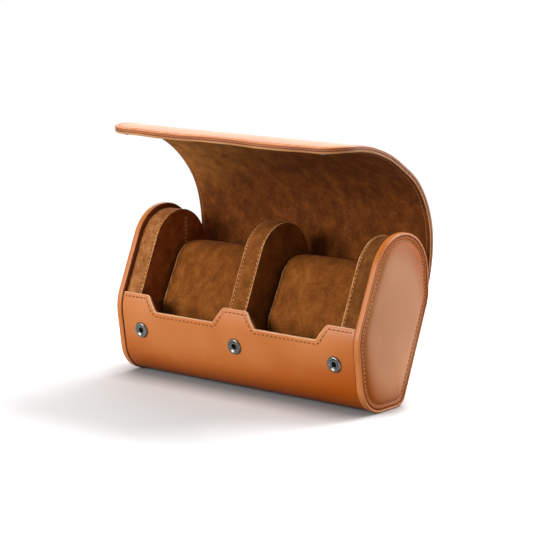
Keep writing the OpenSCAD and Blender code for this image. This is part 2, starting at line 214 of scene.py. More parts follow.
# Painted shade deepens the wrap's colour and dulls its gloss towards the bottom of the roll.
wrap_hide = leather("smooth tan leather of the wrap", *TAN, flat=True,
                    painted_shade=((-0.03, 0, 0.075), (0.2, 10.0, 0.075), "#A64C0A"))
lid_leather = leather("smooth tan leather of the lid", *TAN, flat=True)
burnished = leather("burnished leather edge", "#96521E", "#AC6430", "#BC7640", rough=0.5, grain=0.25)
edge_light = leather("pared edge of the lid", "#9A6232", "#AE7644", "#C28C5A", rough=0.65, grain=0.25)
# The raw edge is pale, and paler still as a painted highlight where its rounding catches the light.
pale_edge_and_highlight = leather("pared leather edge", "#DDA170", "#EDB98C", "#F6CDA6", rough=0.5, grain=0.25)
dark_edge = leather("stained leather edge", "#64290A", "#76340E", "#884418", rough=0.5)

# %% [markdown]
# Suede is the flesh side of the hide, sanded until its fibres stand up. Where they lie one way it
# looks dark, and where a finger has brushed them it looks pale, in streaky patches 4 to 8 mm
# long. The fibres also catch light at a glancing angle, which the shader's sheen gives. The lid's
# suede gets a second, paler colour mixed in towards one corner, as painted light falling on it
# there.

# %% Suede
NAP = 700.0                                         # tufts, about 1.4 mm across
FIBRES = 3200.0                                     # fibres, about 0.3 mm across


def suede(name, deep, mid, pale, flat=False, patch=8.0, lit_corner=None):
    """Suede in three depths of brown. patch is the brushed patches' size in millimetres, and lit_corner
    the colour of painted light towards the far left corner of a flat pattern, 80 to 150 mm along a
    slanting line."""
    material, tree, shader = finish(name)
    at = place_on(tree, flat)
    brushed = add(tree, "ShaderNodeMapping", {"Vector": at, "Scale": (1.0, 0.75, 0.8),
                                              "Rotation": (0.3, 0.2, 0.35)})
    patches = add(tree, "ShaderNodeTexNoise", {"Vector": brushed.outputs[0], "Scale": 1000 / patch,
                                               "Detail": 6.0, "Roughness": 0.62, "Distortion": 0.3})
    nap = add(tree, "ShaderNodeTexNoise", {"Vector": at, "Scale": NAP, "Detail": 4.0,
                                           "Roughness": 0.75})
    fibre = add(tree, "ShaderNodeTexNoise", {"Vector": at, "Scale": FIBRES, "Detail": 2.0})
    both = add(tree, "ShaderNodeMix", {"Factor": 0.38, "A": patches.outputs[0],
                                       "B": nap.outputs[0]}, data_type="FLOAT")
    colour = ramp(tree, both.outputs[0], [(0.38, deep), (0.5, mid), (0.62, pale)])
    # Painted light: a paler colour towards the far left corner of the flat pattern.
    if lit_corner:
        along = add(tree, "ShaderNodeVectorMath", {0: at, 1: (-0.5, 1.0, 0.0)}, operation="DOT_PRODUCT")
        near = add(tree, "ShaderNodeMapRange", {"Value": along.outputs["Value"], "From Min": 0.08,
                                                "From Max": 0.15, "To Max": 1.3},
                   interpolation_type="SMOOTHSTEP")
        mottle = add(tree, "ShaderNodeMapRange", {"Value": both.outputs[0], "From Min": 0.22,
                                                  "From Max": 0.62})
        much = add(tree, "ShaderNodeMath", {0: near.outputs[0], 1: mottle.outputs[0]},
                   operation="MULTIPLY")
        colour = add(tree, "ShaderNodeMix", {"Factor": much.outputs[0], "A": colour, "B": linear(lit_corner)},
                     data_type="RGBA").outputs["Result"]
    tree.links.new(colour, shader.inputs["Base Color"])
    height = add(tree, "ShaderNodeMath", {0: nap.outputs[0], 1: fibre.outputs[0]}, operation="ADD")
    bumps = add(tree, "ShaderNodeBump", {"Height": height.outputs[0], "Strength": 0.35,
                                         "Distance": 0.25 * MM})
    tree.links.new(bumps.outputs[0], shader.inputs["Normal"])
    for key, value in (("Roughness", 0.93), ("Specular IOR Level", 0.15), ("Sheen Weight", 0.12),
                       ("Sheen Roughness", 0.5), ("Sheen Tint", linear(pale))):
        shader.inputs[key].default_value = value
    return material


# The lid's suede is painted lighter towards its far left corner, painted light from the left.
lid_suede = suede("brushed brown suede of the lid", "#502608", "#63320B", "#7B4216", flat=True,
                  patch=7.0, lit_corner="#BE7A38")
bay_suede = suede("brown suede", "#5F300B", "#743E0E", "#874C18")
pad_suede = suede("brown suede of the pad faces", "#7A3810", "#944A18", "#A85E28", patch=6.0)
band_suede = suede("brown suede of the divider", "#683811", "#7D481A", "#925A28", patch=6.0)
# The pads' strips are one suede painted two ways: the right pad's darker, painted shade under the lid,
# and the left pad's paler, painted light from the left.
painted_shade_band = suede("brown suede of the right pad", "#5C3210", "#6D3E15", "#80501F", patch=6.0)
painted_lit_band = suede("light brown suede", "#824C20", "#9A6033", "#B27846", patch=4.0)
pillow_suede = suede("brown suede of the pillows", "#64340E", "#7B4414", "#905420")
seam_edge = suede("pale suede edge", "#A06A34", "#C28C54", "#D8AC78", patch=3.0)

# %% [markdown]
# The snaps are brass pressings plated gunmetal: a dark grey nickel with a warm cast, polished by
# tumbling, so it mirrors the room softly. Hidden board and foam only need to be believable.

# %% Metal, thread and fillings
def metal(name, code, rough):
    material, tree, shader = finish(name)
    at = add(tree, "ShaderNodeTexCoord").outputs["Object"]
    wear = add(tree, "ShaderNodeTexNoise", {"Vector": at, "Scale": 700.0, "Detail": 4.0})
    gloss = add(tree, "ShaderNodeMapRange", {"Value": wear.outputs[0], "To Min": rough - 0.06,
                                             "To Max": rough + 0.1})
    tree.links.new(gloss.outputs[0], shader.inputs["Roughness"])
    shader.inputs["Base Color"].default_value = linear(code)
    shader.inputs["Metallic"].default_value = 1.0
    return material


def plain(name, dark, light, rough, scale):
    material, tree, shader = finish(name)
    at = add(tree, "ShaderNodeTexCoord").outputs["Object"]
    grain = add(tree, "ShaderNodeTexNoise", {"Vector": at, "Scale": scale, "Detail": 3.0})
    tree.links.new(ramp(tree, grain.outputs[0], [(0.35, dark), (0.65, light)]),
                   shader.inputs["Base Color"])
    shader.inputs["Roughness"].default_value = rough
    return material


gunmetal = metal("polished gunmetal plating", "#70726F", 0.22)
# The snap's hole is a shallow dish painted near black, painted shade of the hole.
socket_hole_shade = metal("painted shade of the snap hole", "#111214", 0.5)
tan_thread = plain("waxed tan thread", "#D0813F", "#E6A46C", 0.6, 4000.0)
orange_thread = plain("waxed orange thread", "#C4702A", "#D58A48", 0.6, 4000.0)
brown_thread = plain("waxed brown thread", "#7A4A20", "#A87240", 0.7, 4000.0)
# Flat dark dots of painted shade stand for the needle holes.
needle_hole_shade = plain("needle hole", "#6E3210", "#7E3E18", 0.9, 900.0)
grey_board = plain("grey pasteboard", "#8A7B62", "#A39478", 0.9, 900.0)
pale_foam = plain("cut foam", "#CFC29A", "#E2D8B4", 0.95, 1200.0)

# %% Dress the frame's own nodes
SLOT_FINISH = {"tan_leather": wrap_leather, "band_leather": band_suede, "suede": bay_suede,
               "board": grey_board, "foam": pale_foam, "gunmetal": gunmetal}
for row in frame["record"]["subparts"]:
    node_mesh = frame["nodes"][row["node"]].data
    node_mesh.materials.clear()
    node_mesh.materials.append(SLOT_FINISH[row["material_slot"]])
for word in ("left", "right"):                      # the seat is foam under a suede skin
    frame["nodes"][f"bay_seat_{word}"].data.materials[0] = bay_suede

# %% [markdown]
# ## The section of the roll
# Seen from its end, the roll is a taut loop of leather round five circles: two at the foot, one
# at the back, one at the top and one at the front belly. Every band, cap and pad of the roll runs
# round this loop at some distance inside it, so the loop is walked once, in steps of about a
# millimetre, and each step keeps the direction that faces outwards. Insets are then just a
# distance along that direction.

# %% Walk round the outline
CIRCLES = [(5.8, 9.0, 9.0), (12.8, 62.6, 23.0), (8.8, 72.6, 26.0), (-4.7, 40.6, 26.5),
           (-8.2, 20.0, 20.0)]                      # (y, z, radius) in millimetres
STEP = 1.0                                          # millimetres between two spots


def facing(angle):
    return math.cos(math.radians(angle)), math.sin(math.radians(angle))


def run_facing(i):
    """Direction, in degrees, that the straight run after circle i faces."""
    (ya, za, ra), (yb, zb, rb) = CIRCLES[i % len(CIRCLES)], CIRCLES[(i + 1) % len(CIRCLES)]
    lean = math.asin((rb - ra) / math.hypot(yb - ya, zb - za))
    return math.degrees(math.atan2(zb - za, yb - ya)) - 90 - math.degrees(lean)


def walk_outline():
    """Spots (y, z, out y, out z) in millimetres, anticlockwise from the back of the foot."""
    spots = []
    for i, (y, z, r) in enumerate(CIRCLES):
        start = run_facing(i - 1)
        sweep = (run_facing(i) - start + 720) % 360
        count = max(2, round(math.radians(sweep) * r / STEP))
        for k in range(count):
            oy, oz = facing(start + sweep * k / count)
            spots.append((y + r * oy, z + r * oz, oy, oz))
        oy, oz = facing(run_facing(i))
        yb, zb, rb = CIRCLES[(i + 1) % len(CIRCLES)]
        first, last = (y + r * oy, z + r * oz), (yb + rb * oy, zb + rb * oz)
        count = max(1, round(math.dist(first, last) / STEP))
        for k in range(count):
            here = (a + k / count * (b - a) for a, b in zip(first, last))
            spots.append((*here, oy, oz))
    return spots


def lengths(line):
    """How far along a line each of its points lies."""
    far = [0.0]
    for a, b in zip(line, line[1:]):
        far.append(far[-1] + math.dist(a, b))
    return far


OUTLINE = walk_outline()
AROUND = lengths([spot[:2] for spot in OUTLINE + OUTLINE[:1]])
LOOP = AROUND[-1]
print("outline", len(OUTLINE), "spots,", round(LOOP, 1), "mm round")


def on_outline(u, inset=0.0):
    """The spot u millimetres round the outline, moved inwards: (y, z, out y, out z)."""
    u %= LOOP
    k = min(bisect.bisect_right(AROUND, u) - 1, len(OUTLINE) - 1)
    t = (u - AROUND[k]) / (AROUND[k + 1] - AROUND[k])
    a, b = OUTLINE[k], OUTLINE[(k + 1) % len(OUTLINE)]
    y, z, oy, oz = (a[n] + t * (b[n] - a[n]) for n in range(4))
    return y - inset * oy, z - inset * oz, oy, oz


def seek(height, low, high, inset=0.0):
    """How far round the outline a height is met between two distances round it."""
    rising = on_outline(high, inset)[1] > on_outline(low, inset)[1]
    for _ in range(40):
        mid = (low + high) / 2
        if (on_outline(mid, inset)[1] < height) == rising:
            low = mid
        else:
            high = mid
    return low


# %% [markdown]
# ## Making closed forms
# Most pieces of the roll are one loop of edges, drawn out again and again: a circle is added, its
# points are set on the outline, and each further loop is extruded from the last and set at its
# place. It is how a leatherworker thinks too, from the edge of a piece towards its middle.

# %% Extrude loops
def edit(piece):
    """Go into edit mode on this piece alone."""
    take(piece)
    bpy.ops.object.mode_set(mode="EDIT")


def draw_out(piece, loop, spots):
    """Extrude this loop of vertices, set the new ones at spots, and give their numbers."""
    bm = bmesh.from_edit_mesh(piece.data)
    bm.verts.ensure_lookup_table()
    for part in (*bm.verts, *bm.edges, *bm.faces):
        part.select = False
    chosen = [bm.verts[i] for i in loop]
    for a, b in zip(chosen, chosen[1:] + chosen[:1]):
        edge = bm.edges.get((a, b))
        if edge:
            edge.select_set(True)
    bmesh.update_edit_mesh(piece.data)
    bpy.ops.mesh.extrude_edges_move()
    bm = bmesh.from_edit_mesh(piece.data)
    bm.verts.ensure_lookup_table()
    bm.verts.index_update()
    new = []
    for i, spot in zip(loop, spots):
        mate = next(o for o in (e.other_vert(bm.verts[i]) for e in bm.verts[i].link_edges) if o.select)
        mate.co = spot
        new.append(mate.index)
    bmesh.update_edit_mesh(piece.data)
    return new


def close_up(piece, loop):
    """Draw a loop together to one point at its middle."""
    bm = bmesh.from_edit_mesh(piece.data)
    bm.verts.ensure_lookup_table()
    middle = sum((bm.verts[i].co for i in loop), Vector()) / len(loop)
    new = draw_out(piece, loop, [middle] * len(loop))
    bm = bmesh.from_edit_mesh(piece.data)
    bm.verts.ensure_lookup_table()
    for part in (*bm.faces, *bm.verts):
        part.select_set(False)
    for i in new:
        bm.verts[i].select_set(True)
    bmesh.update_edit_mesh(piece.data)
    bpy.ops.mesh.merge(type="CENTER")


def tidy(piece, angle):
    """Merge doubles, turn every face outwards, leave edit mode and shade smooth by angle."""
    bpy.ops.mesh.select_all(action="SELECT")
    bpy.ops.mesh.remove_doubles(threshold=1e-6)
    bpy.ops.mesh.normals_make_consistent(inside=False)
    bpy.ops.object.mode_set(mode="OBJECT")
    take(piece)
    bpy.ops.object.shade_smooth_by_angle(angle=math.radians(angle))


def form(name, loops, angle, ends="poles"):
    """A closed form drawn out loop by loop. ends are closed to poles, or joined into a ring."""
    bpy.ops.mesh.primitive_circle_add(vertices=len(loops[0]), radius=0.01, fill_type="NOTHING")
    piece = named(name)
    for v, spot in zip(piece.data.vertices, loops[0]):
        v.co = spot
    piece.location = (0, 0, 0)
    edit(piece)
    first = loop = list(range(len(loops[0])))
    for spots in loops[1:] + ([loops[0]] if ends == "ring" else []):
        loop = draw_out(piece, loop, spots)
    if ends == "poles":
        close_up(piece, loop)
        close_up(piece, first)
    tidy(piece, angle)
    return piece


def paint(piece, materials, choose):
    """Give each face one of these materials; choose is given its centre in millimetres."""
    piece.data.materials.clear()
    for m in materials:
        piece.data.materials.append(m)
    for face in piece.data.polygons:
        face.material_index = choose(face.center / MM, face.normal)


# %% [markdown]
# ## Stitches
# A lockstitch shows as a row of short round dashes, each diving into its needle holes. One dash is
# modelled with a few dozen faces: a small cylinder whose ends are drawn down and in. Each seam is
# a list of spots with the way the seam runs and the way out of the leather, and each spot gets a
# copy of the dash. Two flat dark dots under its ends stand for the holes, as painted shade.

# %% One stitch
BAR, TIP = 0.62, 0.19                               # shares of its length: the bar, and each tip
TIP_WIDE, TIP_HIGH = 0.62, 0.5                      # a tip's end, as shares of the bar's section
SINK = 0.32                                         # how far a tip dives, as a share of the thread
HOLE = 0.8                                          # a hole's radius, as a share of the thread


def model_stitch(thread, length, thick):
    """One dash along X: a six-sided bar whose ends are drawn out, thinned and sunk, on two holes."""
    bpy.ops.mesh.primitive_cylinder_add(vertices=6, radius=thick / 2 * MM, depth=length * BAR * MM,
                                        end_fill_type="NGON", rotation=(0, math.pi / 2, 0))
    dash = named("stitch")
    bpy.ops.object.transform_apply(location=False, rotation=True, scale=False)
    edit(dash)
    for side in (-1, 1):
        bm = bmesh.from_edit_mesh(dash.data)
        for f in bm.faces:
            f.select_set(f.normal.x * side > 0.9)
        bmesh.update_edit_mesh(dash.data)
        bpy.ops.mesh.extrude_region_move()
        bpy.ops.transform.resize(value=(1, TIP_WIDE, TIP_HIGH))
        bpy.ops.transform.translate(value=(side * length * TIP * MM, 0, -thick * SINK * MM))
        bm = bmesh.from_edit_mesh(dash.data)
        for f in bm.faces:
            f.select_set(False)
    bpy.ops.object.mode_set(mode="OBJECT")
    take(dash)
    bpy.ops.object.shade_smooth()
    dash.data.materials.append(thread)
    for side in (-1, 1):
        bpy.ops.mesh.primitive_circle_add(vertices=10, radius=thick * HOLE * MM, fill_type="NGON",
                                          location=(side * (length * 0.5 + 0.12) * MM, 0, 0.05 * MM))
        hole = named("hole")
        bpy.ops.object.transform_apply(location=True, rotation=False, scale=False)
        hole.data.materials.append(needle_hole_shade)
        take(dash, hole)
        bpy.ops.object.join()
    return dash


def frame_at(spot, along, out):
    """A matrix with X along the seam and Z out of the leather."""
    x = Vector(along).normalized()
    z = Vector(out).normalized()
    y = z.cross(x).normalized()
    z = x.cross(y)
    turn = Matrix((x, y, z)).transposed().to_4x4()
    turn.translation = Vector(spot)
    return turn


def sew(name, frames, thread, length, thick):
    """Lay stitches at these (spot, along, out) and join them into one mesh."""
    dash = model_stitch(thread, length, thick)
    copies = []
    for spot, along, out in frames:
        new = dash.copy()
        new.data = dash.data.copy()
        new.data.transform(frame_at(spot, along, out))
        bpy.context.collection.objects.link(new)
        copies.append(new)
    bpy.data.objects.remove(dash)
    take(*copies)
    bpy.ops.object.join()
    return named(name)


def add_seam(piece, seam):
    """Make a seam part of the piece it is sewn through."""
    take(piece, seam)
    bpy.ops.object.join()


def round_seam(x, side, inset, pitch, on_band=False):
    """Stitch frames round the outline, on a flat face or on the band round its edge."""
    count = int(LOOP / pitch)
    frames = []
    for k in range(count):
        y, z, oy, oz = on_outline((k + 0.5) * LOOP / count, inset)
        out = Vector((0, oy, oz)) if on_band else Vector((side, 0, 0))
        frames.append((Vector((side * x, y, z)) * MM, Vector((0, -oz, oy)), out))
    return frames


# %% [markdown]
# ## End caps
# Each cap is a board in a leather rim. The rim is a strip folded round the edge of the board, so
# both its corners are rolled and it closes on itself. The face is a second disc of leather over a
# thin foam, sewn down round its edge, so it dips at the seam and then swells to a flat middle.

# %% Cap rims
# Each profile below is a list of (inset, x): how far inside the outline, and how far along the roll.
RIM = [(3.05, 85.12), (1.6, 85.1), (0.55, 85.12), (0.15, 85.3), (0.0, 85.7), (0.0, 87.0), (0.0, 88.3),
       (0.12, 88.7), (0.42, 88.95), (0.8, 89.0), (1.2, 88.92), (1.5, 88.62), (1.6, 88.1),
       (1.66, 86.9), (3.05, 86.9)]


def loops_at(profile, side):
    """Loops round the outline from a profile of (inset, x)."""
    return [[Vector((side * x, *on_outline(u, inset)[:2])) * MM for u in AROUND[:-1]]
            for inset, x in profile]


def ride_case(piece, slot, *nodes):
    """Fix a piece to the case and let it stand for these nodes. slot is not used."""
    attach(piece, "case")
    if nodes:
        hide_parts(*nodes)


def inside_rim(spot):
    """True on the wall of the rim that faces the padded face, inside its rounded edge."""
    return min(math.dist(spot.yz, p[:2]) for p in OUTLINE) > 1.3


for side, word in ((-1, "left"), (1, "right")):
    rim = form(f"cap_rim_band_{word}", loops_at(RIM, side), ends="ring", angle=50)
    paint(rim, [wrap_leather, dark_edge, burnished],
          lambda c, n: 1 if abs(c.x) < 85.45 else
          (2 if 86.95 < abs(c.x) < 88.85 and abs(n.x) < 0.9 and inside_rim(c) else 0))
    ride_case(rim, "tan_leather", f"cap_rim_{word}", f"cap_lining_{word}")
print("rim", len(rim.data.polygons), "faces")

# %% [markdown]
# The padded face starts under the rim, dips into the seam's groove 4 mm from the edge and swells
# from there. A swell of loops that shrink about the middle keeps the outline's form as it rises.

# %% Padded cap faces
MIDDLE = (2.05, 46.3)                               # depth and height the face swells about
FACE = [(3.0, 86.8), (1.9, 86.9), (1.78, 87.9), (1.92, 88.42), (2.3, 88.72), (2.8, 88.8),
        (3.3, 88.72), (3.75, 88.48), (4.1, 88.4), (4.5, 88.5), (5.0, 88.78), (5.7, 89.1),
        (6.6, 89.4), (7.8, 89.66)]
SWELL = [(0.90, 89.83), (0.84, 89.97), (0.76, 90.1), (0.66, 90.2), (0.54, 90.29), (0.4, 90.36),
         (0.25, 90.41), (0.1, 90.44)]


def face_loops(profile, swell, side):
    """Loops of a profile, and then of a swell given as (share of the last loop, x)."""
    loops = loops_at(profile, side)
    edge = loops[-1]
    middle = Vector((0, *MIDDLE)) * MM
    for share, x in swell:
        loops.append([Vector((side * x * MM, middle.y + share * (p.y - middle.y),
                              middle.z + share * (p.z - middle.z))) for p in edge])
    return loops


for side, word in ((-1, "left"), (1, "right")):
    face = form(f"cap_padded_face_{word}", face_loops(FACE, SWELL, side), angle=60)
    paint(face, [cap_leather, burnished], lambda c, n: int(abs(c.x) < 88.3))
    seam = sew("cap seam", round_seam(88.5, side, 4.1, 2.45), tan_thread, 1.75, 0.62)
    add_seam(face, seam)
    ride_case(face, "tan_leather", f"cap_face_{word}")
print("cap face", len(face.data.polygons), "faces with its seam")

# %% [markdown]
# ## Side pads and divider
# A pad is foam cut to the section of the roll, with a strip of suede round its edge and a suede
# disc on its inner face, pieced from two halves with a row of stitches on either side of the join.
# Disc and strip meet in a turned seam, which stands up as a thin ridge with a row of stitches
# beside it. The divider is the same with a disc on both faces.

# %% Pads
PAD = [(4.5, 85.05), (3.3, 85.05), (3.12, 84.7), (3.0, 83.0), (2.92, 80.0), (2.94, 77.6),
       (3.0, 75.9), (3.14, 74.8), (3.2, 74.25), (3.06, 74.0), (2.84, 73.82), (2.78, 73.55),
       (2.9, 73.28), (3.2, 73.12), (3.5, 73.16), (3.75, 73.22), (4.2, 73.08), (5.2, 72.88), (6.8, 72.7)]
PAD_SWELL = [(0.86, 72.58), (0.7, 72.5), (0.5, 72.46), (0.3, 72.44), (0.1, 72.44)]
JOIN_X, JOIN_Y, JOIN_TOP = 72.5, 13.2, 90.0         # the join of the two halves of the face
for side, word in ((-1, "left"), (1, "right")):
    pad = form(f"side_pad_{word}", face_loops(PAD, PAD_SWELL, side), angle=60)
    # The left strip is painted light and the right one painted shade.
    band = painted_lit_band if word == "left" else painted_shade_band
    paint(pad, [pad_suede, band, seam_edge],
          lambda c, n: 2 if 73.2 < abs(c.x) < 73.95 and abs(n.x) < 0.97 else int(abs(c.x) > 73.2))
    seam = sew("pad seam", round_seam(74.65, side, 3.1, 2.5, on_band=True), tan_thread, 1.7, 0.45)
    add_seam(pad, seam)
    rows = [(Vector((side * JOIN_X, JOIN_Y + aside, JOIN_TOP - 2.4 * k)) * MM,
             Vector((0, 0, -1)), Vector((-side, 0, 0))) for aside in (-0.6, 0.6) for k in range(20)]
    add_seam(pad, sew("face seam", rows, tan_thread, 2.0, 0.42))
    ride_case(pad, "suede", f"pad_band_{word}", f"pad_face_{word}", f"pad_foam_{word}")
print("side pad", len(pad.data.polygons), "faces with its seam")

# %% [markdown]
# The divider is a pad with two faces. Half of its profile is written down, and the other half is
# the same one mirrored, so both seams stand equally far from the middle.

# %% Divider
HALF = [(6.8, 6.72), (5.2, 6.62), (4.2, 6.5), (3.75, 6.38), (3.5, 6.36), (3.2, 6.4), (2.9, 6.28),
        (2.78, 6.02), (2.84, 5.76), (3.06, 5.58), (3.2, 5.35), (3.14, 4.8), (3.0, 3.4), (2.94, 1.6),
        (2.92, 0.0)]
DIVIDER = HALF + [(inset, -x) for inset, x in HALF[-2::-1]]
swell = [(0.86, 6.78), (0.7, 6.83), (0.5, 6.86), (0.3, 6.88), (0.1, 6.88)]
middle = face_loops(DIVIDER, [(s, -x) for s, x in swell], 1)
front = face_loops(DIVIDER[:1], swell, 1)[1:]
divider = form("divider_pad", front[::-1] + middle, angle=60)
paint(divider, [bay_suede, band_suede, seam_edge],
      lambda c, n: 2 if 5.7 < abs(c.x) < 6.3 else int(abs(c.x) < 6.3))
for side in (-1, 1):
    seam = sew("divider seam", round_seam(4.95, side, 3.1, 2.5, on_band=True), tan_thread, 1.7, 0.45)
    add_seam(divider, seam)
ride_case(divider, "suede", "divider_band", "divider_face_left", "divider_face_right", "divider_core")
print("divider", len(divider.data.polygons), "faces")

# %% [markdown]
# ## Sheets of leather
# The wrap and the lid are cut flat and then bent. They are modelled that way too: a grid is laid
# out flat, its border follows the cut edge, and the border is drawn out loop by loop into the
# edge's own rounded profile, down to a second grid that is the other side. The flat place of every
# point is kept as an attribute, so that grain follows the leather round each bend.

# %% Lay out a sheet
def border_of(columns, rows):
    """Numbers of a grid's border vertices, in order round it."""
    wide = columns + 1
    return ([i for i in range(wide)] + [j * wide + columns for j in range(1, rows + 1)]
            + [rows * wide + i for i in range(columns - 1, -1, -1)]
            + [j * wide for j in range(rows - 1, 0, -1)])


def flat_grid(name, spots, height):
    """A grid with its corners at spots[row][column] = (x, s), and their numbers by place in it."""
    rows, columns = len(spots) - 1, len(spots[0]) - 1
    bpy.ops.mesh.primitive_grid_add(x_subdivisions=columns, y_subdivisions=rows, size=2)
    piece = named(name)
    number = {}
    for v in piece.data.vertices:
        i = round((v.co.x + 1) / 2 * columns)
        j = round((v.co.y + 1) / 2 * rows)
        x, s = spots[j][i]
        v.co = (x * MM, s * MM, height * MM)
        number[j * (columns + 1) + i] = v.index
    return piece, number


def outward(points):
    """Unit directions out of a closed row of (x, s) points that runs anticlockwise."""
    found = []
    for k, here in enumerate(points):
        before, after = points[k - 1], points[(k + 1) % len(points)]
        dx, ds = after[0] - before[0], after[1] - before[1]
        size = math.hypot(dx, ds) or 1.0
        found.append((ds / size, -dx / size))
    return found


def cut_sheet(name, spots, profile):
    """A flat sheet with a drawn-out edge. profile is (how far out, height) from top to bottom."""
    rows, columns = len(spots) - 1, len(spots[0]) - 1
    ring = border_of(columns, rows)
    wide = columns + 1
    border = [spots[n // wide][n % wide] for n in ring]
    away = outward(border)
    sheet, number = flat_grid(name, spots, profile[0][1])
    loop = [number[n] for n in ring]
    edit(sheet)
    for out, height in profile[1:]:
        step = out - profile[0][0]
        loop = draw_out(sheet, loop, [Vector((x + step * ax, s + step * as_, height)) * MM
                                      for (x, s), (ax, as_) in zip(border, away)])
    bpy.ops.object.mode_set(mode="OBJECT")
    under = flat_grid("under side", spots, profile[-1][1])[0]
    take(sheet, under)
    bpy.ops.object.join()
    edit(sheet)
    return sheet


def bend(sheet, place):
    """Move a flat sheet's points to where place(x, s, t) puts them."""
    for v in sheet.data.vertices:
        v.co = place(*(v.co / MM))


def keep_flat(piece):
    """Store where every point lies before the sheet is bent."""
    flat = piece.data.attributes.new("flat", "FLOAT_VECTOR", "POINT")
    for v, spot in zip(piece.data.vertices, flat.data):
        spot.vector = v.co


def spread(breaks, step):
    """Numbers from the first break to the last, with every break kept and no gap over step."""
    found = []
    for a, b in zip(breaks, breaks[1:]):
        count = max(1, math.ceil((b - a) / step - 1e-9))
        found += [a + (b - a) * k / count for k in range(count)]
    return found + [breaks[-1]]


# %% [markdown]
# ## The wrap
# One sheet of leather runs from the front panel's notched edge under the roll and up its back. Its
# edge is cut square, a little rounded and left pale, with a painted highlight along it. The notches
# are laid out on the flat sheet, and the rows of the grid relax from the notched line to straight
# ones a few centimetres below.

# %% Cut and bend the wrap
PEAK_Z, NOTCH_DEPTH = 50.2, 9.3
NOTCH_FROM, NOTCH_TO, NOTCH_RUN = 8.7, 65.7, 6.5    # a notch's ends along x, and its slopes' run
WRAP_IN = 0.6                                       # the wrap's face, inside the caps' outline
WRAP_HALF = 85.0                                    # half its width, between the caps
RELAX = 34                                          # below the edge, where the rows are straight
SEWN_IN = 2.5                                       # from the cut edge to the seam
HINGE_Z = 51.6
FRONT_TOP = seek(PEAK_Z, LOOP * 0.5, LOOP * 0.78, WRAP_IN)
FRONT_LOW = seek(PEAK_Z - NOTCH_DEPTH, LOOP * 0.5, LOOP * 0.8, WRAP_IN)
BACK_TOP = seek(HINGE_Z - 0.2, 0, LOOP * 0.35, 1.0)
WRAP_LONG = BACK_TOP + LOOP - FRONT_TOP             # from the back edge round to the peaks
DIP = FRONT_LOW - FRONT_TOP
print("wrap", round(WRAP_LONG, 1), "mm long, notches", round(DIP, 2), "mm")


def notch(x):
    """How far the front edge dips at x, with its corners a little rounded."""
    def sharp(a):
        a = abs(a)
        if a < NOTCH_FROM or a > NOTCH_TO:
            return 0.0
        return DIP * min(1.0, (a - NOTCH_FROM) / NOTCH_RUN, (NOTCH_TO - a) / NOTCH_RUN)
    return sum(sharp(x + d) for d in (-0.8, -0.5, -0.2, 0.2, 0.5, 0.8)) / 6


def wrap_place(x, v, t):
    """Bend a flat point: v runs from the back edge under the roll to the front peaks."""
    y, z, oy, oz = on_outline(BACK_TOP - v, WRAP_IN - t)
    return Vector((x, y, z)) * MM


def relaxed(x, v):
    """Where a row of the grid lies at x: along the notched edge near it, straight farther away."""
    ease = min(1.0, max(0.0, (v - (WRAP_LONG - RELAX)) / RELAX))
    ease = ease * ease * (3 - 2 * ease)
    return v - notch(x) * ease


corners = [7.9, 9.5, 14.5, 16.0, 58.5, 60.0, 65.0, 66.5, WRAP_HALF]
corners = [-x for x in corners[::-1]] + corners
across = []                                         # columns, closest at the notches' corners
for a, b in zip(corners, corners[1:]):
    across += spread([a, b], 0.3 if b - a < 2 else (1.0 if b - a < 6 else 2.4))[:-1]
across.append(corners[-1])

inner = 0.42                                        # how far the rounded edge reaches in
rows = spread([inner, WRAP_LONG - RELAX, WRAP_LONG - inner], 1.3)
spots = [[(x * (WRAP_HALF - inner) / WRAP_HALF, relaxed(x, v)) for x in across] for v in rows]
WRAP_EDGE = [(-inner, 0.0), (-0.2, -0.06), (-0.05, -0.22), (0.0, -0.5), (0.0, -1.1), (-0.08, -1.4),
             (-0.3, -1.58), (-0.3, -1.66), (-0.15, -1.75), (-0.1, -2.0), (-0.2, -2.25),
             (-inner, -2.38)]
wrap = cut_sheet("case_wrap_hide", spots, WRAP_EDGE)
tidy(wrap, 60)
keep_flat(wrap)
# The pale band of the edge carries a painted highlight.
paint(wrap, [wrap_hide, pale_edge_and_highlight, dark_edge, bay_suede],
      lambda c, n: 0 if c.z > -0.02 else (2 if abs(c.x) > 84.55 or -1.68 < c.z < -1.5 else
                                          (1 if c.z > -1.5 else 3)))
bend(wrap, wrap_place)
edit(wrap)
tidy(wrap, 60)

# %% [markdown]
# The seam on the front panel follows the notched edge 2.5 mm inside it. It is laid out on the flat
# sheet, where that is a simple distance, and each stitch is then placed on the bent one. Points
# that crowd together inside a notch's corner are left out, or the stitches there would fan out.

# %% Sew the front edge
def stations(line, pitch):
    """Even places along a line: the number of the segment, and how far along it from 0 to 1."""
    far = lengths(line)
    count = max(1, round(far[-1] / pitch))
    found = []
    for k in range(count):
        d = (k + 0.5) * far[-1] / count
        n = min(bisect.bisect_right(far, d) - 1, len(line) - 2)
        found.append((n, (d - far[n]) / (far[n + 1] - far[n])))
    return found


def seam_on(place, line, pitch, t=0.0):
    """Stitch frames along a row of flat (x, s) points, on the outer or inner face of a sheet."""
    frames = []
    for n, share in stations(line, pitch):
        (xa, sa), (xb, sb) = line[n], line[n + 1]
        size = math.dist(line[n], line[n + 1])
        x, s = xa + share * (xb - xa), sa + share * (sb - sa)
        here = place(x, s, t)
        ahead = place(x + 0.3 * ((xb - xa) / size), s + 0.3 * ((sb - sa) / size), t)
        out = place(x, s, t + (0.5 if t >= 0 else -0.5))
        frames.append((here, ahead - here, out - here))
    return frames


